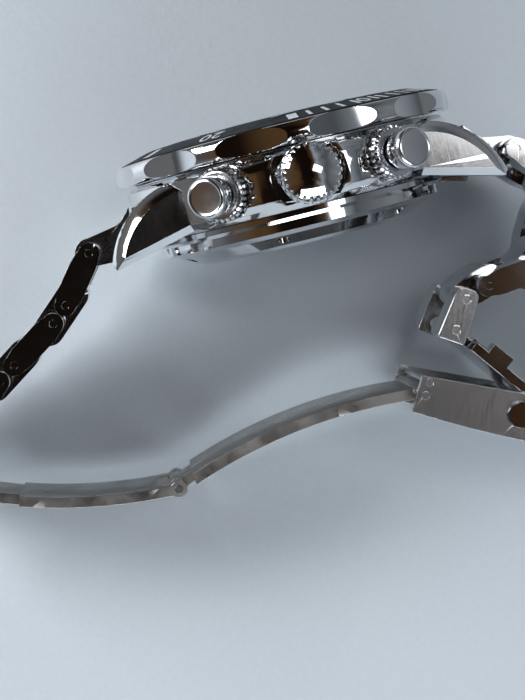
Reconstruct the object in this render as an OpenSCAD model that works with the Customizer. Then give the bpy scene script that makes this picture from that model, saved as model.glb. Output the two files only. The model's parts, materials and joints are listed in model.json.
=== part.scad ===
// Steel dive chronograph with its folding bracelet, lying on the nine o'clock flank.
// Sizes are millimetres.  Head pieces are drawn in the dial frame: +X to twelve o'clock,
// -Y to the crown, +Z out of the dial.  Bracelet pieces are drawn in the loop frame:
// +X to twelve o'clock, +Y out of the dial, +Z to the crown.

/* [Case] */
// Radius of the round middle case
case_r = 19.8; // [19.4:0.1:20]
// Height of the middle case's top above the crown axis
case_top = 3.3; // [3.1:0.1:3.4]
// Depth of the middle case's underside below the crown axis
case_low = 3.5; // [3.4:0.1:3.6]
// Radius of the bore that holds the movement
bore_r = 15.2; // [15:0.1:15.4]
// Outer radius of the neck that the bezel turns on
neck_r = 16.4; // [16.3:0.05:16.45]
// Depth of the case back below the crown axis
back_low = 7.6; // [7.2:0.1:8]
// Distance between the lugs
lug_gap = 20.2; // [20.1:0.05:20.3]
// Thickness of one lug
lug_w = 4.1; // [3.8:0.1:4.4]

/* [Bezel] */
// Outer radius of the turning bezel
bezel_r = 20.8; // [20.5:0.1:21]
// Number of wide scallops round the bezel
scallops = 12; // [8:1:16]
// Depth of one scallop
scallop_depth = 0.65; // [0.4:0.05:0.8]
// Radius of each scallop, nearly flat
scallop_r = 40; // [20:1:60]

/* [Crown and pushers] */
// Radius of the crown over its knurl
crown_r = 3.45; // [3.2:0.05:3.6]
// Number of flutes round the crown
crown_flutes = 26; // [18:1:30]
// Angle of each pusher from the crown, about the dial's centre
pusher_angle = 27; // [26:0.5:29]
// Radius of the knurled pusher collars
collar_r = 3.1; // [2.9:0.05:3.2]
// Radius of the pusher caps
cap_r = 2.3; // [2.1:0.05:2.5]
// Travel of a pusher
push_travel = 1; // [0.6:0.1:1]

/* [Bracelet] */
// Distance between the two pins of one link
pin_step = 6.6; // [6.4:0.1:6.8]
// Distance from one link's last pin to the next link's first
hinge_step = 2.6; // [2.55:0.05:2.7]
// Thickness of the side pieces
side_t = 3.0; // [2.8:0.1:3.2]
// Half of the bracelet's width
strap_half = 9.6; // [9.4:0.1:9.8]
// Half of the centre pieces' width
core_half = 4.8; // [4.6:0.05:4.9]
// Radius of the link pins
pin_r = 0.45; // [0.4:0.05:0.5]

/* [Clasp] */
// Length of the clasp cover
cover_l = 37; // [34:0.5:40]
// Heading of the open clasp cover
cover_heading = -24; // [-25:0.5:-23]
// Radius that the folding blades are curved to
blade_bend = 64; // [60:1:70]
// Thickness of the folding blades
blade_t = 1.3; // [1.1:0.1:1.5]

/* [Rest] */
// Lean of the loop about the twelve o'clock axis as it lies on the table
rest_lean = 16.73; // [0:0.01:20]
// Roll of the loop about the dial normal as it lies on the table
rest_roll = -3.41; // [-8:0.01:8]
// Height of the dial's centre above the table
rest_lift = 19.59; // [19:0.01:24]
// Shift that centres the whole object over its origin, towards twelve o'clock
rest_shift_x = 5.25; // [-20:0.01:20]
// Shift that centres the whole object over its origin, out of the dial
rest_shift_y = 17.58; // [0:0.01:40]

/* [Hidden] */
$fn = 72;

steel = [0.74, 0.75, 0.77];
steel_dark = [0.45, 0.46, 0.49];
fine = 0.05;
spare = 0.5;

// Levels through the watch head, measured along the dial normal from the crown axis
neck_top = 6.3;
ledge = 5.3;
bezel_low = 3.6;
bezel_top = 5.9;
insert_top = 7.0;
dial_top = 2.7;
movement_top = 2.2;
bridge_top = -1.9;
bridge_low = -3.2;

// Distances from the dial's centre along the crown and pusher axes
crown_in = 21.5;
crown_out = 25.3;
collar_in = 19.2;
collar_out = 22.6;
cap_in = collar_out + push_travel + 0.15;
cap_out = cap_in + 2.3;
stem_in = 16.6;

// Pin places round the loop; each link has a heading, and each hinge step lies half-way between
head_pin_6 = [-25.8, -2.8];
head_pin_12 = [25.8, -2.8];
turn_6 = [231.5, 213, 214, 224];
turn_12 = [-44, -120, -174];
tab_heading_12 = -162;
tab_step_12 = 3;

function dir2(a) = [cos(a), sin(a)];
function first_pin(p, t, i) =
    i == 0 ? p : last_pin(p, t, i - 1) + hinge_step * dir2((t[i - 1] + t[i]) / 2);
function last_pin(p, t, i) = first_pin(p, t, i) + pin_step * dir2(t[i]);

connector_heading = -122.5;
connector_step = 3.8;
conn_a = last_pin(head_pin_12, turn_12, 2) + tab_step_12 * dir2(tab_heading_12);
conn_b = conn_a + connector_step * dir2(connector_heading);
cover_u = dir2(cover_heading);
cover_v = dir2(cover_heading + 90);
latch_pin = [9.42, -27.2];
blade_pin = latch_pin - 0.2 * cover_u - 1.6 * cover_v;
plate_pin = latch_pin + 16 * cover_u - 1.2 * cover_v;
cut_pin = last_pin(head_pin_6, turn_6, 3);
mid_pin = [-22.4, -32.7];
cover_half = 9.3;
cover_wall = 0.9;
blade_half = 6.4;
fork_half = 5.8;
fork_gap = 3.0;
knuckle_r = 1.05;

module resting() {
    translate([rest_shift_x, rest_shift_y, rest_lift])
        rotate([rest_lean, 0, 0]) rotate([0, rest_roll, 0]) children();
}
module head() { resting() rotate([-90, 0, 0]) children(); }
module at(p) { resting() translate([p[0], p[1], 0]) children(); }
module ring(ro, ri, z0, z1) {
    translate([0, 0, z0]) difference() {
        cylinder(r = ro, h = z1 - z0);
        translate([0, 0, -1]) cylinder(r = ri, h = z1 - z0 + 2);
    }
}
// Along the crown axis (a = 0) or a pusher axis, from distance d0 to d1 from the dial's centre
module radial(a, d0) { rotate([0, 0, a]) rotate([90, 0, 0]) translate([0, 0, d0]) children(); }
module bar(p, r, half) { translate([p[0], p[1], -half]) cylinder(r = r, h = 2 * half); }
module slab(z0, z1) { translate([0, 0, z0]) linear_extrude(z1 - z0) children(); }
module both_sides() { children(); mirror([0, 0, 1]) children(); }

// ---------- case ----------
// The lug's top edge is an arc that falls to the tip, and its lower edge is straight
lug_c = [13.2, -7.6];
lug_r = 10.6;
lug_tip = [23.0, -5.5];
lug_root = [13.0, -3.1];
lug_bevel = 1.35;
lug_arc = [for (t = [0:5:75]) [lug_c[0] + lug_r * sin(t), lug_c[1] + lug_r * cos(t)]];
module lug_outline() { polygon(concat([[9, 3]], lug_arc, [lug_tip, lug_root, [9, -3.1]])); }
// A cone cuts the polished bevel along the arc, and a slanted block cuts the one below
module lug_bevels() {
    translate([lug_c[0], lug_c[1], lug_gap / 2 + lug_w]) rotate([0, 0, -5])
        rotate_extrude(angle = 99, $fn = 128) polygon([
            [lug_r - lug_bevel - 0.6, 0.6], [lug_r + 1.5, 0.6], [lug_r + 1.5, -lug_bevel - 1.5]]);
    translate([lug_root[0], lug_root[1], lug_gap / 2 + lug_w]) rotate([0, 0, -13.5])
        rotate([45, 0, 0]) translate([-4, -0.6, -0.6]) cube([16, 1.2, 1.2]);
}
module lug_pair() {
    both_sides() difference() {
        slab(lug_gap / 2, lug_gap / 2 + lug_w) lug_outline();
        lug_bevels();
        translate([20.9, -2.9, lug_gap / 2 - 1]) cylinder(r = 0.55, h = 3.2, $fn = 32);
    }
}
module case_profile() {
    polygon([
        [bore_r, -case_low], [16.2, -case_low], [18.6, -case_low], [case_r - 0.1, -case_low + 1],
        [case_r, -case_low + 1.6], [case_r, case_top - 0.6], [case_r - 0.5, case_top],
        [neck_r, case_top], [neck_r, neck_top], [15.9, neck_top], [15.9, ledge], [bore_r, ledge]]);
}
// A raised shoulder that carries both pushers and stops short of the crown
module crown_guards() {
    difference() {
        intersection() {
            rotate_extrude($fn = 128) polygon([
                [17, -2.9], [20.3, -2.9], [21.1, -2.1], [21.1, 1.5], [20.0, 2.8], [17, 2.8]]);
            linear_extrude(8, center = true) polygon([[0, 0], [-17, -24], [17, -24]]);
        }
        radial(0, 19.4) cylinder(r = crown_r + 0.75, h = 4);
    }
}
module mid_case() {
    color(steel) head() difference() {
        union() {
            rotate_extrude($fn = 128) case_profile();
            rotate([90, 0, 0]) {
                lug_pair();
                mirror([1, 0, 0]) lug_pair();
            }
            crown_guards();
        }
        translate([0, 0, -case_low - 3]) cylinder(r = bore_r, h = case_low + 3 + ledge, $fn = 128);
        for (s = [-1, 1]) translate([s * 23.2, 0, case_low + 7.2]) cube([12, 20.2, 8], true);
        radial(0, 14) cylinder(r = 1.4, h = 9);
        for (s = [-1, 1]) {
            radial(s * pusher_angle, 14) cylinder(r = 1.9, h = 8);
            radial(s * pusher_angle, collar_in) cylinder(r = collar_r + fine, h = 4);
        }
    }
}
module case_back() {
    color(steel) head() difference() {
        union() {
            rotate_extrude($fn = 128) polygon([
                [0, -back_low], [12.4, -back_low], [13.6, -back_low + 0.4], [15.6, -6.1],
                [17.0, -5.6], [17.0, -4.6], [17.9, -4.2], [17.9, -case_low - 0.1],
                [15.1, -case_low - 0.1], [15.1, -case_low + 0.2], [14.3, -case_low + 0.2],
                [14.3, -6.2], [0, -6.2]]);
        }
        for (i = [0:5]) rotate([0, 0, 60 * i + 15]) translate([14.7, 0, -7.9])
            cylinder(r = 0.7, h = 1.6, $fn = 24);
    }
}
module back_gasket() { color("black") head() ring(15.9, 15.25, -case_low - 0.1, -case_low); }
module crystal() {
    color([0.8, 0.88, 0.95, 0.4]) head() rotate_extrude($fn = 96) polygon([
        [0, ledge + 0.02], [15.35, ledge + 0.02], [15.35, 6.9], [15.0, 7.25], [11, 7.55],
        [6, 7.7], [0, 7.75]]);
}
module crystal_gasket() { color("white") head() ring(15.88, 15.4, ledge + 0.02, neck_top); }
module rehaut_ring() {
    color(steel) head() rotate_extrude($fn = 96) polygon([
        [14.0, dial_top + fine], [15.1, dial_top + fine], [15.1, ledge - fine],
        [14.9, ledge - fine]]);
}
sub_dials = [[7.2, 0], [-7.2, 0], [0, 7.2]];
module dial() {
    color([0.1, 0.11, 0.13]) head() difference() {
        translate([0, 0, movement_top]) cylinder(r = 15.05, h = dial_top - movement_top, $fn = 96);
        translate([0, 0, 0]) cylinder(r = 1.3, h = 5);
        for (p = sub_dials) {
            translate([p[0], p[1], dial_top - 0.15]) cylinder(r = 3.5, h = 1);
            translate([p[0], p[1], 0]) cylinder(r = 0.5, h = 5);
        }
        translate([-1.1, -12.6, movement_top - 1]) cube([2.2, 2.6, 3]);
    }
}
module dial_markers() {
    color([0.92, 0.94, 0.9]) head() {
        for (h = [1, 2, 4, 5, 7, 8, 10, 11]) rotate([0, 0, -30 * h])
            translate([12.3, 0, dial_top]) cylinder(r = 0.75, h = 0.25, $fn = 24);
        for (s = [-0.6, 0.6]) translate([11.6, s - 0.35, dial_top]) cube([1.9, 0.7, 0.25]);
        translate([-13.4, -0.4, dial_top]) cube([1.8, 0.8, 0.25]);
        translate([-0.4, 11.5, dial_top]) cube([0.8, 1.9, 0.25]);
    }
}
module date_disc() { color("white") head() ring(13.4, 9.6, movement_top - 0.4, movement_top - 0.1); }
module movement_ring() {
    color(steel_dark) head() difference() {
        ring(15.1, 13.75, -3.1, movement_top);
        radial(0, 12) cylinder(r = 0.75, h = 5);
    }
}
module main_plate() {
    color([0.7, 0.68, 0.6]) head() difference() {
        translate([0, 0, -1.8]) cylinder(r = 13.7, h = 3.4, $fn = 96);
        translate([0, 0, -3]) cylinder(r = 1.0, h = 6);
        for (p = sub_dials) translate([p[0], p[1], -1]) cylinder(r = 0.45, h = 4);
        radial(0, 7.6) cylinder(r = 1.7, h = 8);
        translate([-6.0, -7.5, -3]) cylinder(r = 4.0, h = 4);
    }
}
module train_bridge() {
    color([0.75, 0.7, 0.6]) head() difference() {
        translate([0, 0, bridge_low]) cylinder(r = 13.6, h = bridge_top - bridge_low, $fn = 96);
        translate([-6.0, -7.5, -4]) cylinder(r = 4.4, h = 4);
        translate([0, 0, -4]) cylinder(r = 0.9, h = 4);
        for (i = [0:2]) rotate([0, 0, 120 * i + 75]) translate([11, 0, -4])
            cylinder(r = 0.5, h = 4, $fn = 24);
    }
}
module bridge_screws() {
    color(steel_dark) head() for (i = [0:2]) rotate([0, 0, 120 * i + 75])
        translate([11, 0, bridge_low - 0.3]) {
            translate([0, 0, 0]) cylinder(r = 0.9, h = 0.29, $fn = 24);
            cylinder(r = 0.48, h = 1.5, $fn = 24);
        }
}
module tube(a, d0, d1, ro, ri) {
    radial(a, d0) difference() {
        cylinder(r = ro, h = d1 - d0);
        translate([0, 0, -1]) cylinder(r = ri, h = d1 - d0 + 2);
    }
}
module crown_tube() { color(steel_dark) head() tube(0, 15.6, 21.9, 1.38, 0.7); }
module pusher_tubes() {
    color(steel_dark) head() for (s = [-1, 1]) difference() {
        tube(s * pusher_angle, 15.6, collar_in, 1.88, 0.75);
        radial(s * pusher_angle, 16.9) cylinder(r = 1.3, h = 6);
    }
}
module pusher_collars() {
    color(steel) head() for (s = [-1, 1]) radial(s * pusher_angle, collar_in + fine)
        difference() {
            union() {
                cylinder(r = collar_r - 0.35, h = collar_out - collar_in - fine);
                translate([0, 0, 1.2]) cylinder(r = collar_r, h = 1.9);
            }
            translate([0, 0, -1]) cylinder(r = 1.75, h = 6);
            for (i = [0:27]) rotate([0, 0, i * 360 / 28]) translate([collar_r + 0.12, 0, 1])
                cylinder(r = 0.28, h = 3, $fn = 16);
        }
}
module bezel_click_spring() {
    color(steel_dark) head() difference() {
        ring(18.6, 17.2, case_top + 0.01, case_top + 0.16);
        translate([12, -3, 0]) cube([8, 6, 6]);
    }
}
module end_link(s) {
    difference() {
        union() {
            slab(-lug_gap / 2 + 0.12, lug_gap / 2 - 0.12) polygon([
                [20.05, 1.3], [21.2, 0.0], [22.6, -1.2], [22.9, -3.6], [21.6, -4.6], [19.7, -4.2],
                [20.1, -2.2], [20.15, 0]]);
            slab(-core_half, core_half) {
                translate(head_pin_12) circle(1.75);
                polygon([[20.6, 0.4], [22, -0.4], [25.9, -1.1], [25.9, -4.5], [21.4, -4.6]]);
            }
        }
        bar(head_pin_12, pin_r + fine, 6);
        bar([20.9, -2.9], 0.56, 11);
    }
}
module end_link_12() { color(steel) resting() end_link(); }
module end_link_6() { color(steel) resting() mirror([1, 0, 0]) end_link(); }
module spring_bars() {
    color(steel_dark) resting() for (s = [-1, 1]) {
        bar([s * 20.9, -2.9], 0.54, 11.6);
    }
}

// ---------- bezel ----------
module bezel_ring() {
    color(steel) head() difference() {
        rotate_extrude($fn = 128) polygon([
            [neck_r + 0.08, bezel_low], [bezel_r - 0.55, bezel_low], [bezel_r - 0.15, bezel_low + 0.35],
            [bezel_r, bezel_low + 0.9], [bezel_r, bezel_top - 0.95], [bezel_r - 0.15, bezel_top - 0.4],
            [bezel_r - 0.5, bezel_top + 0.1], [bezel_r - 0.9, bezel_top + 0.15],
            [bezel_r - 1.0, bezel_top - 0.1], [neck_r + 0.3, bezel_top + 0.45],
            [neck_r + 0.08, bezel_top + 0.45]]);
        for (i = [0:scallops - 1]) rotate([0, 0, (i + 0.5) * 360 / scallops])
            translate([bezel_r + scallop_r - scallop_depth, 0, bezel_low - 1])
                cylinder(r = scallop_r, h = 4, $fn = 256);
    }
}
module bezel_insert() {
    color([0.07, 0.07, 0.08]) head() difference() {
        rotate_extrude($fn = 128) polygon([
            [bezel_r - 1.05, bezel_top - 0.05], [bezel_r - 1.05, bezel_top + 0.3],
            [neck_r + 0.2, insert_top + 0.1], [neck_r + 0.2, bezel_top + 0.5],
            [neck_r + 0.35, bezel_top + 0.5]]);
        translate([18.2, 0, 5]) cylinder(r = 0.72, h = 3, $fn = 32);
    }
}
module bezel_pearl() {
    color([0.9, 0.95, 0.85]) head() translate([18.2, 0, 6.28]) {
        cylinder(r = 0.7, h = 0.5, $fn = 32);
    }
}

// ---------- winding and pushers ----------
module winding_pinion() {
    color(steel_dark) head() radial(0, 8) difference() {
        cylinder(r = 1.5, h = 4);
        translate([0, 0, -1]) cube([1.06, 1.06, 12], true);
        translate([-0.53, -0.53, -1]) cube([1.06, 1.06, 6]);
        for (i = [0:11]) rotate([0, 0, 30 * i]) translate([1.55, 0, -1])
            cylinder(r = 0.2, h = 6, $fn = 16);
    }
}
module crown() {
    color(steel) head() difference() {
        union() {
            radial(0, crown_in) rotate_extrude($fn = 96) polygon([
                [0, 0], [crown_r - 0.5, 0], [crown_r, 0.35], [crown_r, 0.8], [crown_r - 0.2, 1.0],
                [crown_r - 0.05, 1.2], [crown_r - 0.05, 2.7], [2.75, 3.2], [2.6, 3.45],
                [1.6, 3.7], [0, 3.8]]);
            radial(0, 12.2) cylinder(r = 0.62, h = 11);
            radial(0, 8.6) translate([-0.47, -0.47, 0]) cube([0.94, 0.94, 4]);
        }
        radial(0, crown_in - 1) difference() {
            cylinder(r = 1.55, h = 1.6);
            cylinder(r = 0.62, h = 3);
        }
        for (i = [0:crown_flutes - 1]) radial(0, crown_in + 1.05)
            rotate([0, 0, i * 360 / crown_flutes]) translate([crown_r + 0.12, 0, 0])
                cylinder(r = 0.36, h = 3, $fn = 16);
    }
}
module pusher(a) {
    color(steel) head() radial(a, 0) {
        translate([0, 0, cap_in]) rotate_extrude($fn = 64) polygon([
            [0, 0], [cap_r - 0.2, 0], [cap_r, 0.2], [cap_r, 1.8], [cap_r - 0.4, 2.2],
            [cap_r - 0.9, 2.3], [0, 2.3]]);
        translate([0, 0, 20.2]) cylinder(r = 1.65, h = cap_in - 20.2 + 0.1);
        translate([0, 0, stem_in]) cylinder(r = 0.65, h = 4);
    }
}
module pusher_2() { pusher(pusher_angle); }
module pusher_4() { pusher(-pusher_angle); }
module coil_spring(a) {
    color(steel_dark) head() for (i = [0:4]) radial(a, 17.2 + 0.62 * i)
        rotate_extrude($fn = 32) translate([1.0, 0]) circle(0.18, $fn = 16);
}
module pusher_spring_2() { coil_spring(pusher_angle); }
module pusher_spring_4() { coil_spring(-pusher_angle); }

// ---------- hands ----------
module hand(z, l, w, tail) {
    translate([0, 0, z]) linear_extrude(0.16)
        polygon([[-tail, -w / 2], [l - w, -w / 2], [l, 0], [l - w, w / 2], [-tail, w / 2]]);
}
module hour_hand() {
    color("white") head() difference() {
        union() {
            rotate([0, 0, 55]) hand(3.0, 8.6, 1.1, 1.2);
            translate([0, 0, 1.7]) cylinder(r = 1.15, h = 1.46);
        }
        translate([0, 0, 0]) cylinder(r = 0.85, h = 6);
    }
}
module minute_hand() {
    color("white") head() difference() {
        union() {
            rotate([0, 0, -60]) hand(3.4, 12.4, 0.9, 1.4);
            translate([0, 0, 1.4]) cylinder(r = 0.8, h = 2.3);
        }
        translate([0, 0, 0]) cylinder(r = 0.5, h = 6);
    }
}
module chrono_hand() {
    color("red") head() union() {
        hand(3.9, 13.2, 0.35, 4);
        translate([0, 0, 1.2]) cylinder(r = 0.45, h = 3.1);
        translate([-3.6, 0, 3.9]) cylinder(r = 0.7, h = 0.16);
    }
}
module counter_hand(p, a) {
    color("white") head() translate([p[0], p[1], 0]) {
        rotate([0, 0, a]) hand(dial_top + 0.12, 2.9, 0.35, 0.8);
        translate([0, 0, 0.4]) cylinder(r = 0.35, h = 2.6);
    }
}
module small_seconds_hand() { counter_hand(sub_dials[2], 100); }
module minute_counter_hand() { counter_hand(sub_dials[0], 0); }
module hour_counter_hand() { counter_hand(sub_dials[1], 0); }

// ---------- movement ----------
module rotor() {
    color([0.8, 0.75, 0.6]) head() {
        difference() {
            translate([0, 0, -4.9]) cylinder(r = 13.4, h = 1.0, $fn = 96);
            translate([-14, 0.6, -6]) cube([28, 15, 4]);
            translate([0, 0, -5.4]) difference() {
                cylinder(r = 10.6, h = 3);
                cylinder(r = 3, h = 3);
                translate([-0.9, -12, 0]) cube([1.8, 12, 3]);
            }
        }
        translate([0, 0, -5.6]) cylinder(r = 2.4, h = 1.9);
    }
}
module balance_wheel() {
    color([0.85, 0.7, 0.35]) head() translate([-6.0, -7.5, 0]) {
        difference() {
            translate([0, 0, -2.6]) cylinder(r = 3.7, h = 0.6);
            translate([0, 0, -3]) difference() {
                cylinder(r = 3.1, h = 2);
                translate([-4, -0.3, 0]) cube([8, 0.6, 2]);
                cylinder(r = 0.7, h = 2);
            }
        }
        translate([0, 0, -3.1]) cylinder(r = 0.25, h = 3.8, $fn = 24);
    }
}

// ---------- bracelet ----------
module side_outline() {
    for (x = [0, pin_step]) translate([x, 0]) circle(hinge_step / 2 - 0.06, $fn = 48);
    polygon([
        [0, 1.2], [0.9, side_t / 2 - 0.06], [1.6, side_t / 2], [pin_step - 1.6, side_t / 2],
        [pin_step - 0.9, side_t / 2 - 0.06], [pin_step, 1.2], [pin_step, -1.2],
        [pin_step - 1, -side_t / 2 + 0.1], [pin_step - 1.7, -side_t / 2], [1.7, -side_t / 2],
        [1, -side_t / 2 + 0.1], [0, -1.2]]);
}
module side_pair(p, a) {
    at(p) rotate([0, 0, a]) both_sides() difference() {
        slab(core_half + 0.18, strap_half) side_outline();
        for (x = [0, pin_step]) translate([x, 0, core_half]) cylinder(r = pin_r, h = 6, $fn = 32);
    }
}
module core_piece(p, a, front) {
    at(p) rotate([0, 0, a]) difference() {
        union() {
            slab(-core_half, core_half) {
                translate([-1.25, 0]) circle(1.85, $fn = 48);
                translate([hinge_step + front, 0]) circle(1.85, $fn = 48);
                translate([-1.25, -1.85]) square([hinge_step + front + 1.25, 3.7]);
            }
        }
        bar([0, 0], pin_r, 8);
        bar([hinge_step, 0], pin_r + fine, 8);
    }
}
module link_pin(p) { at(p) bar([0, 0], pin_r - 0.005, strap_half - 0.25); }
function mean(t, i) = (t[i] + t[i + 1]) / 2;
module sides_6(i) {
    color(steel) side_pair(first_pin(head_pin_6, turn_6, i), turn_6[i]);
    color(steel_dark) link_pin(first_pin(head_pin_6, turn_6, i));
}
module core_6(i) {
    color(steel_dark) core_piece(last_pin(head_pin_6, turn_6, i), mean(turn_6, i), 1.25);
    color(steel_dark) link_pin(last_pin(head_pin_6, turn_6, i));
}
module sides_12(i) {
    color(steel) side_pair(first_pin(head_pin_12, turn_12, i), turn_12[i]);
    color(steel_dark) link_pin(first_pin(head_pin_12, turn_12, i));
}
module core_12(i) {
    color(steel_dark) core_piece(last_pin(head_pin_12, turn_12, i), mean(turn_12, i), 1.25);
    color(steel_dark) link_pin(last_pin(head_pin_12, turn_12, i));
}
module link_6a_sides() { sides_6(0); }
module link_6a_core() { core_6(0); }
module link_6b_sides() { sides_6(1); }
module link_6b_core() { core_6(1); }
module link_6c_sides() { sides_6(2); }
module link_6c_core() { core_6(2); }
module link_6d_sides() { sides_6(3); }
module link_12a_sides() { sides_12(0); }
module link_12a_core() { core_12(0); }
module link_12b_sides() { sides_12(1); }
module link_12b_core() { core_12(1); }
module link_12c_sides() { sides_12(2); }
module link_12c_core() {
    p = last_pin(head_pin_12, turn_12, 2);
    color(steel_dark) at(p) rotate([0, 0, tab_heading_12]) difference() {
        slab(-core_half, core_half) {
            translate([-1.25, 0]) circle(1.85, $fn = 48);
            translate([3, 0]) circle(1.5, $fn = 48);
            polygon([[-1.25, -1.85], [1, -1.85], [3, -1.5], [3, 1.5], [1, 1.85], [-1.25, 1.85]]);
        }
        bar([0, 0], pin_r, 8);
        bar([3, 0], pin_r + fine, 8);
    }
    color(steel_dark) link_pin(p);
}

// ---------- clasp ----------
module connector_cheeks() {
    color(steel) at(conn_a) rotate([0, 0, connector_heading]) both_sides() difference() {
        slab(core_half + 0.18, cover_half) polygon([
            [-1.3, -0.6], [-1.0, -1.3], [0.2, -1.6], [connector_step + 1.3, -1.9],
            [connector_step + 1.5, -1.6], [connector_step + 1.5, 1.3],
            [connector_step + 1.1, 1.5], [0.2, 1.4], [-0.9, 1.2], [-1.3, 0.6]]);
        for (x = [0, connector_step]) translate([x, 0, core_half])
            cylinder(r = pin_r, h = 6, $fn = 32);
    }
}
module connector_pins() {
    color(steel_dark) for (p = [conn_a, conn_b]) link_pin2(p);
}
module link_pin2(p) { at(p) bar([0, 0], pin_r - 0.005, cover_half - 0.25); }
plate_len = norm(plate_pin - conn_b);
plate_heading = atan2(plate_pin[1] - conn_b[1], plate_pin[0] - conn_b[0]);
module extension_plate() {
    color(steel) at(conn_b) rotate([0, 0, plate_heading]) difference() {
        union() {
            slab(-core_half, core_half) {
                circle(1.35, $fn = 48);
                translate([0, -0.6]) square([plate_len, 1.2]);
            }
            slab(-7.6, 7.6) translate([3.2, -0.6]) square([plate_len - 3.2, 1.2]);
            slab(-7.6, 7.6) translate([plate_len, 0]) circle(1.2, $fn = 48);
            both_sides() slab(5.2, 7.6) translate([5, 0.3]) square([3, 1.5]);
        }
        bar([0, 0], pin_r + fine, 12);
        bar([plate_len, 0], pin_r + fine, 12);
    }
}
module cover_outline() {
    intersection() {
        polygon([[-1.0, 0.65], [-1.8, -8], [cover_l, -8], [cover_l - 0.9, 0.3], [34, 0.65]]);
        translate([17, 132]) circle(137, $fn = 200);
    }
}
module clasp_frame() { at(latch_pin) rotate([0, 0, cover_heading]) children(); }
module clasp_cover() {
    color(steel) clasp_frame() difference() {
        slab(-cover_half, cover_half) cover_outline();
        slab(-cover_half + cover_wall, cover_half - cover_wall) intersection() {
            translate([-4, -9]) square([cover_l + 2.6, 12]);
            translate([17, 132]) circle(135.9, $fn = 200);
        }
        slab(-cover_half + cover_wall, cover_half - cover_wall) translate([-4, -9]) square([5.2, 12]);
        bar([0, 0], 0.46, 12);
        bar([-0.2, -1.6], 0.46, 12);
        bar([16, -1.2], pin_r, 12);
        bar([11.4, -1.9], 1.55, 12);
    }
}
module clasp_pins() {
    color(steel_dark) clasp_frame() {
        bar([0, 0], 0.455, cover_half - 0.1);
        bar([-0.2, -1.6], 0.455, cover_half - 0.1);
        bar([16, -1.2], pin_r - 0.005, cover_half - 0.1);
    }
}
module clasp_button(s) {
    color(steel) clasp_frame() mirror([0, 0, s > 0 ? 0 : 1]) translate([11.4, -1.9, 0]) {
        translate([0, 0, 7.0]) cylinder(r = 1.5, h = 2.95);
        translate([0, 0, 6.4]) cylinder(r = 1.9, h = 0.7);
    }
}
module clasp_button_near() { clasp_button(1); }
module clasp_button_far() { clasp_button(-1); }

// An arched strip from a to b whose middle stands off the straight line on the side of s
module arched(a, b, s, t, trim_a, trim_b) {
    l = norm(b - a);
    h = atan2(b[1] - a[1], b[0] - a[0]);
    drop = sqrt(blade_bend * blade_bend - l * l / 4);
    translate([a[0], a[1]]) rotate([0, 0, h]) intersection() {
        translate([l / 2, -s * drop]) difference() {
            circle(blade_bend + t / 2, $fn = 256);
            circle(blade_bend - t / 2, $fn = 256);
        }
        translate([trim_a, -6]) square([l - trim_a - trim_b, 12]);
    }
}
module flat_at(p) { translate([p[0], p[1]]) children(); }
module blade_long() {
    color(steel_dark) resting() difference() {
        union() {
            slab(-blade_half, blade_half) {
                arched(blade_pin, mid_pin, -1, blade_t, 0.2, 2.2);
            }
            bar(blade_pin, knuckle_r, cover_half - cover_wall - 0.25);
            slab(-2.8, 2.8) {
                arched(blade_pin, mid_pin, -1, blade_t, 0.2, 0.2);
                flat_at(mid_pin) circle(knuckle_r, $fn = 48);
            }
        }
        bar(blade_pin, 0.5, 12);
        bar(mid_pin, pin_r + fine, 12);
    }
}
module blade_short() {
    color(steel_dark) resting() difference() {
        union() {
            slab(-fork_half, fork_half) arched(mid_pin, cut_pin, 1, blade_t, 2.2, 11.5);
            both_sides() slab(fork_gap, fork_half) {
                arched(mid_pin, cut_pin, 1, blade_t, 0.2, 11.5);
                flat_at(mid_pin) circle(knuckle_r, $fn = 48);
            }
            slab(-4.4, 4.4) {
                arched(mid_pin, cut_pin, 1, blade_t, 10, 0.2);
                flat_at(cut_pin) circle(1.3, $fn = 48);
            }
        }
        bar(mid_pin, pin_r, 12);
        bar(cut_pin, 0.5, 12);
    }
}
module blade_pins() {
    color(steel) resting() {
        bar(mid_pin, pin_r - 0.005, fork_half + 0.2);
        bar(cut_pin, 0.495, 4.8);
    }
}

mid_case();
case_back();
back_gasket();
crystal();
crystal_gasket();
rehaut_ring();
dial();
dial_markers();
date_disc();
movement_ring();
main_plate();
train_bridge();
bridge_screws();
crown_tube();
pusher_tubes();
pusher_collars();
bezel_click_spring();
end_link_6();
end_link_12();
spring_bars();
bezel_ring();
bezel_insert();
bezel_pearl();
winding_pinion();
crown();
pusher_2();
pusher_4();
pusher_spring_2();
pusher_spring_4();
minute_hand();
hour_hand();
chrono_hand();
small_seconds_hand();
minute_counter_hand();
hour_counter_hand();
rotor();
balance_wheel();
link_6a_sides();
link_6a_core();
link_6b_sides();
link_6b_core();
link_6c_sides();
link_6c_core();
link_6d_sides();
link_12a_sides();
link_12a_core();
link_12b_sides();
link_12b_core();
link_12c_sides();
link_12c_core();
connector_cheeks();
connector_pins();
extension_plate();
clasp_cover();
clasp_pins();
clasp_button_near();
clasp_button_far();
blade_long();
blade_short();
blade_pins();
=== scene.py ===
import json
import math

import bmesh
import bpy
from mathutils import Matrix, Vector


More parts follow.
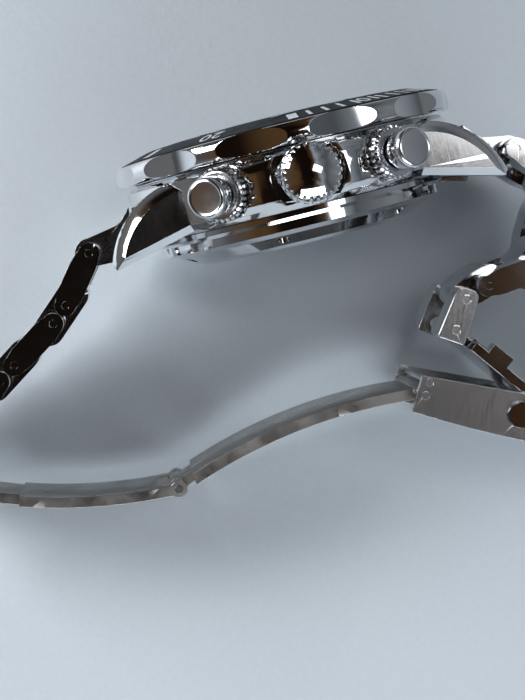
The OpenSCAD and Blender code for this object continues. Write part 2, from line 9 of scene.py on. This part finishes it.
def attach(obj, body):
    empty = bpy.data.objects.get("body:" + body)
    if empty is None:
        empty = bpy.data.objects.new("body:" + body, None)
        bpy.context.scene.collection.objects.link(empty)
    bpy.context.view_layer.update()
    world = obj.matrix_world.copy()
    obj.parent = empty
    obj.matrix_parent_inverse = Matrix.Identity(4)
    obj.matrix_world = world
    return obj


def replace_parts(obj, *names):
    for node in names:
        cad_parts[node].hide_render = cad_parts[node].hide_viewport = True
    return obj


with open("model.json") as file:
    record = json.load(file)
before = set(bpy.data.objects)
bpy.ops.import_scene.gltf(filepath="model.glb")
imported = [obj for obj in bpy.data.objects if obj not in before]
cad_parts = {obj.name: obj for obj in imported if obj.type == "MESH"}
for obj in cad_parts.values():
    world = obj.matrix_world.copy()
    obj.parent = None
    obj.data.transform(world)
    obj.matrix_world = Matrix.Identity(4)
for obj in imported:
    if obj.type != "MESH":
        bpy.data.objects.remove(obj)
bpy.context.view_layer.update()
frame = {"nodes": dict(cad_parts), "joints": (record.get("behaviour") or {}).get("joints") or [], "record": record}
MM = 0.001


# ---------- the watch head's own directions, taken from its joints ----------
def joint(name):
    return next(j for j in frame["joints"] if j["name"] == name)


DIAL_UP = Vector(joint("bezel_turn")["axis"]).normalized()
CROWN_OUT = Vector(joint("crown_turn")["axis"]).normalized()
NOON = DIAL_UP.cross(CROWN_OUT).normalized()
CENTRE = Vector(joint("crown_turn")["pos_m"])
DIAL = Matrix.Translation(CENTRE) @ Matrix((NOON, -CROWN_OUT, DIAL_UP)).transposed().to_4x4()
LOOP = Matrix.Translation(CENTRE) @ Matrix((NOON, DIAL_UP, CROWN_OUT)).transposed().to_4x4()


# ---------- node helpers ----------
class Nodes:
    """Short calls for building one node material."""

    def __init__(self, name):
        self.mat = bpy.data.materials.new(name)
        self.mat.use_nodes = True
        self.tree = self.mat.node_tree
        self.bsdf = self.tree.nodes["Principled BSDF"]
        self.obj = self.add("ShaderNodeTexCoord").outputs["Object"]

    def add(self, kind, **values):
        node = self.tree.nodes.new(kind)
        for key, value in values.items():
            setattr(node, key, value)
        return node

    def link(self, a, b):
        self.tree.links.new(a, b)

    def along(self, axis, scale, across):
        """Object coordinates in mm, scaled by `scale` along `axis` and `across` at right angles to it."""
        rot = Vector(axis).to_track_quat("Z", "Y").inverted().to_euler()
        turn = self.add("ShaderNodeMapping", vector_type="POINT")
        turn.inputs["Rotation"].default_value = rot
        self.link(self.obj, turn.inputs["Vector"])
        size = self.add("ShaderNodeMapping", vector_type="POINT")
        size.inputs["Scale"].default_value = (across, across, scale)
        self.link(turn.outputs["Vector"], size.inputs["Vector"])
        return size.outputs["Vector"]

    def noise(self, scale, detail=4.0, rough=0.6, vector=None):
        node = self.add("ShaderNodeTexNoise")
        node.inputs["Scale"].default_value = scale
        node.inputs["Detail"].default_value = detail
        node.inputs["Roughness"].default_value = rough
        self.link(vector or self.obj, node.inputs["Vector"])
        return node.outputs["Fac"]

    def ramp(self, fac, stops):
        node = self.add("ShaderNodeValToRGB")
        els = node.color_ramp.elements
        while len(els) < len(stops):
            els.new(0.5)
        for el, (pos, col) in zip(els, stops):
            el.position = pos
            el.color = (*col, 1) if len(col) == 3 else col
        self.link(fac, node.inputs["Fac"])
        return node.outputs["Color"]

    def grey(self, fac, low, high, a=0.3, b=0.7):
        return self.ramp(fac, [(a, (low,) * 3), (b, (high,) * 3)])

    def mix(self, a, b, fac, kind="MIX"):
        node = self.add("ShaderNodeMix", data_type="RGBA", blend_type=kind)
        for value, key in ((fac, 0), (a, 6), (b, 7)):
            if hasattr(value, "is_linked"):
                self.link(value, node.inputs[key])
            else:
                node.inputs[key].default_value = value
        return node.outputs[2]

    def dot(self, vector, axis):
        """The part of `vector` that lies along `axis`."""
        node = self.add("ShaderNodeVectorMath", operation="DOT_PRODUCT")
        self.link(vector, node.inputs[0])
        node.inputs[1].default_value = axis
        return node.outputs["Value"]

    def maths(self, operation, a, b):
        node = self.add("ShaderNodeMath", operation=operation)
        for value, key in ((a, 0), (b, 1)):
            if hasattr(value, "is_linked"):
                self.link(value, node.inputs[key])
            else:
                node.inputs[key].default_value = value
        return node.outputs["Value"]

    def bump(self, height, strength, distance):
        node = self.add("ShaderNodeBump")
        if hasattr(strength, "is_linked"):
            self.link(strength, node.inputs["Strength"])
        else:
            node.inputs["Strength"].default_value = strength
        node.inputs["Distance"].default_value = distance
        self.link(height, node.inputs["Height"])
        last = self.bsdf.inputs["Normal"]
        if last.is_linked:
            self.link(last.links[0].from_socket, node.inputs["Normal"])
        self.link(node.outputs["Normal"], last)

    def set(self, **values):
        for key, value in values.items():
            self.bsdf.inputs[key.replace("_", " ")].default_value = value
        return self


# ---------- materials ----------
def steel(name, tint, rough, grain=None, dirt=0.25, mask=None):
    """Stainless steel with smudges and, given a grain axis, fine brushing where `mask` is white."""
    n = Nodes(name).set(Metallic=1.0)
    smudge = n.noise(260, 5, 0.65)
    patch = n.noise(70, 3, 0.5)
    dark = tuple(c * (1 - dirt) for c in tint)
    colour = n.ramp(patch, [(0.32, dark), (0.62, tint)])
    base = n.grey(smudge, rough * 0.75, rough * 1.3, 0.35, 0.72)
    if grain is not None:
        where = mask(n) if mask else 1.0
        lines = n.noise(1.0, 4, 0.7, n.along(grain, 500, 16000))
        brushed = n.mix(colour, n.grey(lines, 0.88, 1.0, 0.35, 0.6), 0.7, "MULTIPLY")
        colour = n.mix(colour, brushed, where)
        base = n.mix(base, n.grey(lines, rough + 0.03, rough + 0.09, 0.35, 0.65), where)
        n.bump(lines, n.maths("MULTIPLY", where, 0.12), 0.000002)
    n.bump(patch, 0.04, 0.00002)
    n.link(colour, n.bsdf.inputs["Base Color"])
    n.link(base, n.bsdf.inputs["Roughness"])
    return n.mat


def on_lug_flanks(n):
    """White where a face looks along the crown axis and lies beyond the case's round middle."""
    normal = n.add("ShaderNodeTexCoord").outputs["Normal"]
    facing = n.grey(n.maths("ABSOLUTE", n.dot(normal, CROWN_OUT), 0.0), 0.0, 1.0, 0.955, 0.975)
    away = n.maths("SUBTRACT", n.dot(n.obj, NOON), CENTRE.dot(NOON))
    far = n.maths("GREATER_THAN", n.maths("ABSOLUTE", away, 0.0), 0.0128)
    return n.maths("MULTIPLY", facing, far)


def black_insert():
    n = Nodes("bezel_black").set(IOR=1.3, Specular_IOR_Level=0.25)
    dust = n.noise(900, 5, 0.7)
    wear = n.noise(160, 4, 0.6)
    n.link(n.ramp(wear, [(0.35, (0.006, 0.007, 0.009)), (0.7, (0.022, 0.024, 0.028))]),
           n.bsdf.inputs["Base Color"])
    n.link(n.grey(dust, 0.42, 0.62), n.bsdf.inputs["Roughness"])
    n.bump(dust, 0.15, 0.00002)
    return n.mat


def paint(name, tint, shade, rough):
    n = Nodes(name)
    grain = n.noise(1500, 4, 0.7)
    n.link(n.ramp(grain, [(0.3, shade), (0.65, tint)]), n.bsdf.inputs["Base Color"])
    n.link(n.grey(grain, rough - 0.08, rough + 0.08), n.bsdf.inputs["Roughness"])
    n.bump(grain, 0.2, 0.00002)
    return n.mat


def dial_black():
    n = Nodes("dial_black").set(Coat_Weight=0.15, Coat_Roughness=0.2)
    wave = n.add("ShaderNodeTexWave", wave_type="BANDS", bands_direction="X")
    wave.inputs["Scale"].default_value = 210
    wave.inputs["Distortion"].default_value = 1.6
    wave.inputs["Detail"].default_value = 1
    n.link(n.obj, wave.inputs["Vector"])
    n.link(n.ramp(wave.outputs["Fac"], [(0.2, (0.008, 0.011, 0.02)), (0.8, (0.02, 0.027, 0.045))]),
           n.bsdf.inputs["Base Color"])
    n.link(n.grey(n.noise(700), 0.32, 0.48), n.bsdf.inputs["Roughness"])
    n.bump(wave.outputs["Fac"], 0.5, 0.00006)
    return n.mat


def sapphire():
    n = Nodes("sapphire").set(Transmission_Weight=1.0, IOR=1.5)
    n.link(n.grey(n.noise(300, 5, 0.7), 0.0, 0.03), n.bsdf.inputs["Roughness"])
    n.link(n.ramp(n.noise(40), [(0.3, (0.95, 0.97, 1.0)), (0.7, (1, 1, 1))]),
           n.bsdf.inputs["Base Color"])
    return n.mat


def moulded(name, tint, shade, rough):
    n = Nodes(name)
    grain = n.noise(2200, 4, 0.6)
    n.link(n.ramp(grain, [(0.35, shade), (0.65, tint)]), n.bsdf.inputs["Base Color"])
    n.link(n.grey(grain, rough - 0.1, rough + 0.1), n.bsdf.inputs["Roughness"])
    n.bump(grain, 0.3, 0.00003)
    return n.mat


def perlage(name, tint):
    n = Nodes(name).set(Metallic=1.0)
    cells = n.add("ShaderNodeTexVoronoi", feature="F1")
    cells.inputs["Scale"].default_value = 700
    n.link(n.obj, cells.inputs["Vector"])
    shade = tuple(c * 0.75 for c in tint)
    n.link(n.ramp(cells.outputs["Distance"], [(0.1, tint), (0.7, shade)]),
           n.bsdf.inputs["Base Color"])
    n.link(n.grey(n.noise(400), 0.2, 0.38), n.bsdf.inputs["Roughness"])
    n.bump(cells.outputs["Distance"], 0.3, 0.00004)
    return n.mat


def tabletop():
    n = Nodes("tabletop").set(Coat_Weight=0.05)
    grain = n.noise(1400, 6, 0.7)
    cloud = n.noise(14, 3, 0.5)
    colour = n.ramp(cloud, [(0.3, (0.52, 0.57, 0.62)), (0.7, (0.56, 0.61, 0.66))])
    colour = n.mix(colour, n.grey(grain, 0.93, 1.0), 0.7, "MULTIPLY")
    n.link(colour, n.bsdf.inputs["Base Color"])
    n.link(n.grey(grain, 0.42, 0.6), n.bsdf.inputs["Roughness"])
    n.bump(grain, 0.35, 0.00012)
    n.bump(n.noise(420, 4, 0.6), 0.25, 0.0002)
    return n.mat


BRIGHT = (0.80, 0.81, 0.83)
# The clasp's brushing runs across its length, at this heading (radians) in the loop's own plane
CLASP_GRAIN = 1.152
CLASP_UP = (LOOP.to_3x3() @ Vector((math.cos(CLASP_GRAIN), math.sin(CLASP_GRAIN), 0))).normalized()
MATERIALS = {
    "brushed_case": steel("brushed_case", (0.76, 0.77, 0.79), 0.07, DIAL_UP, 0.15, on_lug_flanks),
    "polished_steel": steel("polished_steel", BRIGHT, 0.06),
    "satin_steel": steel("satin_steel", (0.74, 0.75, 0.77), 0.2),
    "link_steel": steel("link_steel", (0.74, 0.75, 0.77), 0.10),
    "clasp_steel": steel("clasp_steel", (0.74, 0.75, 0.77), 0.16, CLASP_UP, 0.12),
    "link_core": steel("link_core", (0.70, 0.71, 0.74), 0.09),
    "pin_steel": steel("pin_steel", (0.60, 0.61, 0.63), 0.2, CROWN_OUT),
    # The blades' tint is a darker, brown copy of the same steel: painted shade. Their satin roughness is their
    # own.
    "blade_steel": steel("blade_steel", (0.36, 0.34, 0.32), 0.34, None, 0.08),
    "bezel_black": black_insert(),
    "dial_black": dial_black(),
    "bezel_mark": paint("bezel_mark", (0.62, 0.64, 0.66), (0.5, 0.52, 0.54), 0.4),
    "lume": paint("lume", (0.80, 0.83, 0.76), (0.66, 0.70, 0.62), 0.5),
    "hand_steel": steel("hand_steel", BRIGHT, 0.1),
    "red_paint": paint("red_paint", (0.6, 0.03, 0.02), (0.42, 0.015, 0.01), 0.35),
    "sapphire": sapphire(),
    "gasket": moulded("gasket", (0.02, 0.02, 0.02), (0.01, 0.01, 0.01), 0.6),
    "nylon": moulded("nylon", (0.80, 0.80, 0.77), (0.7, 0.7, 0.66), 0.45),
    "brass_plate": perlage("brass_plate", (0.68, 0.63, 0.50)),
    "gold_balance": perlage("gold_balance", (0.80, 0.58, 0.25)),
}


# ---------- CAD nodes: softened edges and real finishes ----------
SOFT_EDGE = {
    "mid_case": 0.06, "clasp_cover": 0.16, "connector_cheeks": 0.14, "extension_plate": 0.10,
    "blade_long": 0.10, "blade_short": 0.10, "end_link_6": 0.12, "end_link_12": 0.12,
}
OWN_FINISH = {"clasp_cover": "clasp_steel", "connector_cheeks": "clasp_steel"}
LINK_EDGE = 0.16
SHARP = math.radians(28)


def soften(obj, width):
    """Joins split corners, then rounds the edges sharper than SHARP by `width` mm."""
    weld = obj.modifiers.new("weld", "WELD")
    weld.merge_threshold = 0.000002
    bevel = obj.modifiers.new("bevel", "BEVEL")
    bevel.width = width * MM
    bevel.segments = 2
    bevel.limit_method = "ANGLE"
    bevel.angle_limit = SHARP
    bevel.use_clamp_overlap = True
    bevel.harden_normals = True


def dress_nodes():
    slots = {s["node"]: s["material_slot"] for s in frame["record"]["subparts"]}
    for name, obj in frame["nodes"].items():
        obj.data.materials.clear()
        obj.data.materials.append(MATERIALS[OWN_FINISH.get(name, slots[name])])
        width = LINK_EDGE if name.startswith("link_") else SOFT_EDGE.get(name)
        if width:
            soften(obj, width)


dress_nodes()


# ---------- new pieces ----------
def piece(name, bm, matrix, body, slot_name, finish=None):
    """Turns a bmesh in mm into a piece that rides on a body."""
    mesh = bpy.data.meshes.new(name)
    bmesh.ops.recalc_face_normals(bm, faces=bm.faces)
    for face in bm.faces:
        face.smooth = True
    bm.to_mesh(mesh)
    bm.free()
    mesh.transform(matrix @ Matrix.Scale(MM, 4))
    mesh.set_sharp_from_angle(angle=SHARP)
    obj = bpy.data.objects.new(name, mesh)
    bpy.context.scene.collection.objects.link(obj)
    mesh.materials.append(MATERIALS[finish or slot_name])
    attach(obj, body)
    return obj


def add_prism(bm, outline, low, high, place):
    """A closed prism over `outline`, from height low to high, moved by `place`."""
    rings = [[bm.verts.new(place @ Vector((x, y, z))) for x, y in outline] for z in (low, high)]
    bm.faces.new(rings[0][::-1])
    bm.faces.new(rings[1])
    count = len(outline)
    for i in range(count):
        j = (i + 1) % count
        bm.faces.new((rings[0][i], rings[0][j], rings[1][j], rings[1][i]))


# The insert is a cone: its face runs from INSERT_OUT to INSERT_IN (radius, height) in mm
INSERT_OUT = (19.75, 6.2)
INSERT_IN = (16.6, 7.1)


def on_insert(angle, radius):
    """Places a mark on the insert: +X outwards along the cone, +Y round it, +Z off its face."""
    share = (INSERT_OUT[0] - radius) / (INSERT_OUT[0] - INSERT_IN[0])
    height = INSERT_OUT[1] + share * (INSERT_IN[1] - INSERT_OUT[1])
    slope = math.atan2(INSERT_IN[1] - INSERT_OUT[1], INSERT_OUT[0] - INSERT_IN[0])
    return (Matrix.Rotation(angle, 4, "Z") @ Matrix.Translation((radius, 0, height))
            @ Matrix.Rotation(slope, 4, "Y"))


def bezel_ticks():
    """A bar at each five minutes and a thin tick at each of the first fifteen minutes."""
    bm = bmesh.new()
    for minute in range(60):
        angle = -math.radians(6 * minute)
        if minute % 10 == 0:
            continue
        if minute % 5 == 0:
            width, inner, outer = 1.15, 17.2, 19.4
        elif minute < 15:
            width, inner, outer = 0.42, 17.3, 19.4
        else:
            continue
        middle = (inner + outer) / 2
        half = (outer - inner) / 2
        outline = [(-half, -width / 2), (half, -width / 2), (half, width / 2), (-half, width / 2)]
        add_prism(bm, outline, -0.03, 0.008, on_insert(angle, middle))
    piece("bezel_ticks", bm, DIAL, "bezel", "lume", "bezel_mark")


def numeral_mesh(text, size, depth):
    """The outline of a plain numeral as an extruded bmesh, centred, reading along +X."""
    curve = bpy.data.curves.new("numeral", "FONT")
    curve.body = text
    curve.size = size
    curve.extrude = depth
    curve.align_x = "CENTER"
    curve.align_y = "CENTER"
    obj = bpy.data.objects.new("numeral", curve)
    bpy.context.scene.collection.objects.link(obj)
    bpy.context.view_layer.update()
    mesh = obj.evaluated_get(bpy.context.evaluated_depsgraph_get()).to_mesh()
    bm = bmesh.new()
    bm.from_mesh(mesh)
    bmesh.ops.remove_doubles(bm, verts=bm.verts, dist=0.0005)
    bpy.data.objects.remove(obj)
    bpy.data.curves.remove(curve)
    return bm


def bezel_numerals():
    for minute in (10, 20, 30, 40, 50):
        angle = -math.radians(6 * minute)
        bm = numeral_mesh(str(minute), 3.0, 0.02)
        upright = Matrix.Rotation(-math.pi / 2, 4, "Z")
        bm.transform(on_insert(angle, 18.15) @ upright)
        piece(f"bezel_numeral_{minute}", bm, DIAL, "bezel", "lume", "bezel_mark")


def minute_track():
    """Fine strokes round the dial's edge."""
    bm = bmesh.new()
    for i in range(240):
        long_one = i % 4 == 0
        length = 0.75 if long_one else 0.4
        width = 0.12 if long_one else 0.06
        radius = 13.9 - length / 2
        place = Matrix.Rotation(math.radians(i * 1.5), 4, "Z") @ Matrix.Translation((radius, 0, 2.7))
        half = length / 2
        outline = [(-half, -width / 2), (half, -width / 2), (half, width / 2), (-half, width / 2)]
        add_prism(bm, outline, 0.0, 0.02, place)
    piece("minute_track", bm, DIAL, "watch_case", "lume")


def skin(bm, rings, closed_loop):
    """Quads between each ring and the next, and from the last to the first if closed_loop."""
    after = rings[1:] + rings[:1] if closed_loop else rings[1:]
    for low, high in zip(rings, after):
        for i in range(len(low)):
            j = (i + 1) % len(low)
            bm.faces.new((low[i], low[j], high[j], high[i]))


def lathe(bm, profile, place, steps):
    """A ring turned about the local Z axis from a closed profile of (radius, height)."""
    rings = []
    for s in range(steps):
        turn = Matrix.Rotation(2 * math.pi * s / steps, 4, "Z")
        rings.append([bm.verts.new(place @ turn @ Vector((r, 0, z))) for r, z in profile])
    skin(bm, rings, True)


def sub_dial_rings():
    bm = bmesh.new()
    for x, y in ((7.2, 0), (-7.2, 0), (0, 7.2)):
        place = Matrix.Translation((x, y, 2.7))
        lathe(bm, [(3.5, 0), (3.62, 0), (3.62, 0.06), (3.5, 0.06)], place, 64)
        for i in range(12):
            turn = place @ Matrix.Rotation(math.radians(30 * i), 4, "Z")
            add_prism(bm, [(2.7, -0.07), (3.3, -0.07), (3.3, 0.07), (2.7, 0.07)], -0.15, -0.11, turn)
    piece("sub_dial_rings", bm, DIAL, "watch_case", "hand_steel")


# ---------- turned steel pieces, finer than the CAD's own mesh ----------
def turned(bm, levels, place, flutes=0, steps=96):
    """Turns open (height, radius, cut) levels: `cut` is how deep the flutes go at that level."""
    rings = []
    for height, radius, cut in levels:
        ring = []
        for s in range(steps):
            angle = 2 * math.pi * s / steps
            bite = max(0.0, math.cos(flutes * angle)) ** 0.6 if flutes else 0.0
            r = radius - cut * bite
            ring.append(bm.verts.new(place @ Vector((r * math.cos(angle), r * math.sin(angle), height))))
        rings.append(ring)
    skin(bm, rings, False)
    return rings


def closed(bm, levels, place, flutes=0, steps=96):
    """A turned piece with a flat disc at each end."""
    rings = turned(bm, levels, place, flutes, steps)
    bm.faces.new(rings[0][::-1])
    bm.faces.new(rings[-1])


def crown_axis(angle_deg, distance):
    """Local +Z runs out of the case along the crown's direction turned by angle_deg about the dial."""
    turn = Matrix.Rotation(math.radians(angle_deg), 4, "Z")
    return turn @ Matrix.Rotation(math.radians(90), 4, "X") @ Matrix.Translation((0, 0, distance))


CROWN_HEAD = [
    (0.0, 1.7, 0), (0.0, 2.9, 0), (0.12, 3.2, 0), (0.35, 3.4, 0), (0.75, 3.42, 0), (0.9, 3.3, 0),
    (1.0, 3.2, 0), (1.08, 3.3, 0.2), (1.2, 3.42, 0.34), (2.35, 3.42, 0.34), (2.55, 3.36, 0.3),
    (2.72, 3.22, 0.2), (2.86, 3.0, 0.08), (2.95, 2.82, 0), (3.1, 2.55, 0), (3.3, 2.15, 0),
    (3.48, 1.7, 0), (3.63, 1.25, 0), (3.73, 0.8, 0), (3.78, 0.4, 0), (3.8, 0.08, 0)]
CROWN_STEM = [(12.3, 0.61, 0), (21.55, 0.61, 0)]
CAP = [
    (0.0, 1.0, 0), (0.0, 2.1, 0), (0.06, 2.24, 0), (0.2, 2.29, 0), (1.8, 2.29, 0), (1.95, 2.26, 0),
    (2.1, 2.19, 0), (2.22, 2.08, 0), (2.28, 1.96, 0), (2.3, 1.86, 0), (2.25, 1.76, 0),
    (2.22, 1.6, 0), (2.22, 0.05, 0)]
COLLAR = [
    (0.0, 1.8, 0), (0.0, 2.7, 0), (0.9, 2.72, 0), (1.15, 2.85, 0.1), (1.3, 3.05, 0.34),
    (1.45, 3.09, 0.42), (2.75, 3.09, 0.42), (2.95, 3.04, 0.4), (3.12, 2.9, 0.32), (3.22, 2.75, 0.16),
    (3.3, 2.66, 0), (3.34, 2.5, 0), (3.34, 1.95, 0), (3.2, 1.8, 0), (0.0, 1.8, 0)]
# Distances from the dial's centre, in mm
CROWN_IN = 21.5
COLLAR_IN = 19.25
CAP_IN = 23.75
NECK_IN = 20.28
STEM_IN = 16.65
NECK_R = 1.64
STEM_R = 0.64
PUSHER_ANGLE = 27
CROWN_FLUTES = 24
COLLAR_FLUTES = 28
PUSHERS = (("pusher_2", "start_pusher", PUSHER_ANGLE), ("pusher_4", "reset_pusher", -PUSHER_ANGLE))


def crown_piece():
    bm = bmesh.new()
    closed(bm, CROWN_HEAD, crown_axis(0, CROWN_IN), CROWN_FLUTES, CROWN_FLUTES * 16)
    closed(bm, CROWN_STEM, crown_axis(0, 0), 0, 32)
    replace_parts(piece("crown_turned", bm, DIAL, "crown_stem", "polished_steel"), "crown")


def pusher_pieces():
    for node, body, angle in PUSHERS:
        bm = bmesh.new()
        closed(bm, CAP, crown_axis(angle, CAP_IN), 0, 96)
        closed(bm, [(NECK_IN, NECK_R, 0), (CAP_IN + 0.02, NECK_R, 0)], crown_axis(angle, 0), 0, 64)
        closed(bm, [(STEM_IN, STEM_R, 0), (NECK_IN + 0.12, STEM_R, 0)], crown_axis(angle, 0), 0, 32)
        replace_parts(piece(node + "_turned", bm, DIAL, body, "polished_steel", "satin_steel"), node)
    bm = bmesh.new()
    for angle in (PUSHER_ANGLE, -PUSHER_ANGLE):
        turned(bm, COLLAR, crown_axis(angle, COLLAR_IN), COLLAR_FLUTES, COLLAR_FLUTES * 12)
    bmesh.ops.remove_doubles(bm, verts=bm.verts, dist=0.0001)
    collars = piece("collars_turned", bm, DIAL, "watch_case", "polished_steel", "satin_steel")
    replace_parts(collars, "pusher_collars")


BEZEL_PROFILE = [
    (16.48, 3.6), (20.15, 3.6), (20.3, 3.63), (20.5, 3.78), (20.65, 3.95), (20.74, 4.18),
    (20.79, 4.4), (20.8, 4.6), (20.8, 4.85), (20.78, 5.05), (20.73, 5.27), (20.65, 5.5),
    (20.5, 5.77), (20.34, 5.96), (20.2, 6.02), (19.95, 6.05), (19.87, 6.02), (19.8, 5.82),
    (16.7, 6.35), (16.48, 6.35)]
BEZEL_R = 20.8
SCALLOPS = 12
SCALLOP_R = 40.0
SCALLOP_DEPTH = 0.65


def scalloped(radius, angle):
    """The bezel's radius at an angle, once the nearest scallop has cut into it."""
    pitch = 2 * math.pi / SCALLOPS
    near = (angle / pitch - 0.5) % 1.0
    off = (near if near < 0.5 else near - 1.0) * pitch
    middle = BEZEL_R + SCALLOP_R - SCALLOP_DEPTH
    inside = SCALLOP_R ** 2 - (middle * math.sin(off)) ** 2
    if inside <= 0:
        return radius
    return min(radius, middle * math.cos(off) - math.sqrt(inside))


def bezel_piece():
    bm = bmesh.new()
    steps = SCALLOPS * 72
    profile = finer(BEZEL_PROFILE, 0.09)
    rings = []
    for r, z in profile:
        ring = []
        for s in range(steps):
            angle = 2 * math.pi * s / steps
            cut = scalloped(r, angle)
            ring.append(bm.verts.new((cut * math.cos(angle), cut * math.sin(angle), z)))
        rings.append(ring)
    skin(bm, rings, True)
    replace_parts(piece("bezel_turned", bm, DIAL, "bezel", "polished_steel"), "bezel_ring")


def finer(profile, step):
    """The profile with extra points, at most `step` apart, on its outer part."""
    out = []
    for a, b in zip(profile, profile[1:] + profile[:1]):
        length = math.dist(a, b)
        parts = max(1, math.ceil(length / step)) if min(a[0], b[0]) > 20.1 else 1
        out += [tuple(p + (q - p) * i / parts for p, q in zip(a, b)) for i in range(parts)]
    return out


bezel_ticks()
bezel_numerals()
minute_track()
sub_dial_rings()
crown_piece()
pusher_pieces()
bezel_piece()


# ---------- table, lights, camera ----------
def table():
    bm = bmesh.new()
    bmesh.ops.create_grid(bm, x_segments=40, y_segments=40, size=900)
    mesh = bpy.data.meshes.new("table")
    bm.to_mesh(mesh)
    bm.free()
    mesh.transform(Matrix.Scale(MM, 4))
    obj = bpy.data.objects.new("table", mesh)
    mesh.materials.append(tabletop())
    bpy.context.scene.collection.objects.link(obj)


def lamp(name, position, target, size, power, colour=(1, 1, 1)):
    """A rectangular soft light at `position`, in mm, that faces `target`."""
    data = bpy.data.lights.new(name, "AREA")
    data.shape = "RECTANGLE"
    data.size, data.size_y = (s * MM for s in size)
    data.energy = power
    data.color = colour
    obj = bpy.data.objects.new(name, data)
    place = Vector(position) * MM
    obj.location = place
    obj.rotation_euler = (Vector(target) * MM - place).to_track_quat("-Z", "Y").to_euler()
    bpy.context.scene.collection.objects.link(obj)


# Room light by direction along X: brown wood and shade on the left, a pale wall on the right
ROOM = [
    (0.0, (0.20, 0.21, 0.23)), (0.16, (0.22, 0.12, 0.05)), (0.30, (0.02, 0.011, 0.007)),
    (0.50, (0.012, 0.008, 0.006)), (0.60, (0.16, 0.08, 0.035)), (0.67, (0.70, 0.77, 0.84)),
    (0.78, (0.18, 0.20, 0.22)), (1.0, (0.5, 0.55, 0.60))]
HORIZON = (0.42, 0.43, 0.44, 1)


def world_node(tree, kind, links, values, **settings):
    """One node of the world's tree, with sockets linked or set by name or number."""
    node = tree.nodes.new(kind)
    for key, value in settings.items():
        setattr(node, key, value)
    for key, socket in links.items():
        tree.links.new(socket, node.inputs[key])
    for key, value in values.items():
        node.inputs[key].default_value = value
    return node


def wall_colour(tree, direction, across):
    """The ROOM ramp by direction along X, shifted a little by cloudy noise."""
    noise = world_node(tree, "ShaderNodeTexNoise", {"Vector": direction}, {"Scale": 2.2, "Detail": 1.5})
    half = world_node(tree, "ShaderNodeMath", {0: across}, {1: 0.5, 2: 0.35}, operation="MULTIPLY_ADD")
    shift = world_node(tree, "ShaderNodeMath", {0: noise.outputs["Fac"], 2: half.outputs["Value"]},
                       {1: 0.3}, operation="MULTIPLY_ADD")
    ramp = world_node(tree, "ShaderNodeValToRGB", {"Fac": shift.outputs["Value"]}, {})
    els = ramp.color_ramp.elements
    while len(els) < len(ROOM):
        els.new(0.5)
    for el, (pos, col) in zip(els, ROOM):
        el.position = pos
        el.color = (*col, 1)
    return ramp.outputs["Color"]


def room_light(tree):
    """The walls' colour from the direction, paling to HORIZON low down."""
    coord = tree.nodes.new("ShaderNodeTexCoord").outputs["Generated"]
    split = world_node(tree, "ShaderNodeSeparateXYZ", {0: coord}, {})
    walls = wall_colour(tree, coord, split.outputs["X"])
    low = world_node(tree, "ShaderNodeMapRange", {"Value": split.outputs["Z"]},
                     {"From Min": 0.12, "From Max": 0.3, "To Min": 0.6, "To Max": 0.0})
    mix = world_node(tree, "ShaderNodeMix", {}, {}, data_type="RGBA")
    tree.links.new(low.outputs["Result"], mix.inputs[0])
    tree.links.new(walls, mix.inputs[6])
    mix.inputs[7].default_value = HORIZON
    return mix.outputs[2]


def studio():
    world = bpy.data.worlds.new("studio")
    bpy.context.scene.world = world
    world.use_nodes = True
    tree = world.node_tree
    back = tree.nodes["Background"]
    tree.links.new(room_light(tree), back.inputs["Color"])
    back.inputs["Strength"].default_value = 0.45
    bpy.context.scene.view_settings.view_transform = "Standard"
    lamp("window", (-255, 175, 200), (-20, 0, 0), (170, 210), 1.45, (0.96, 0.985, 1.0))
    lamp("over_right", (140, -60, 450), (40, 0, 20), (130, 190), 0.26, (0.97, 0.99, 1.0))
    lamp("front", (-20, -300, 190), (0, -70, 0), (340, 90), 0.85, (0.88, 0.95, 1.0))


EYE = Vector((-27.3, -43.5, 216.2))
AIM = Vector((-1.5, 2.0, 0.0))
ROLL = -15.8
LENS = 87.4


def camera():
    data = bpy.data.cameras.new("camera")
    data.lens = LENS
    data.sensor_width = 36
    obj = bpy.data.objects.new("camera", data)
    back = (EYE - AIM).normalized()
    side = Vector((0, 1, 0)).cross(back).normalized()
    up = back.cross(side)
    turn = Matrix((side, up, back)).transposed() @ Matrix.Rotation(math.radians(ROLL), 3, "Z")
    obj.matrix_world = Matrix.Translation(EYE * MM) @ turn.to_4x4()
    data.clip_start = 0.005
    bpy.context.scene.collection.objects.link(obj)
    bpy.context.scene.camera = obj


table()
studio()
camera()
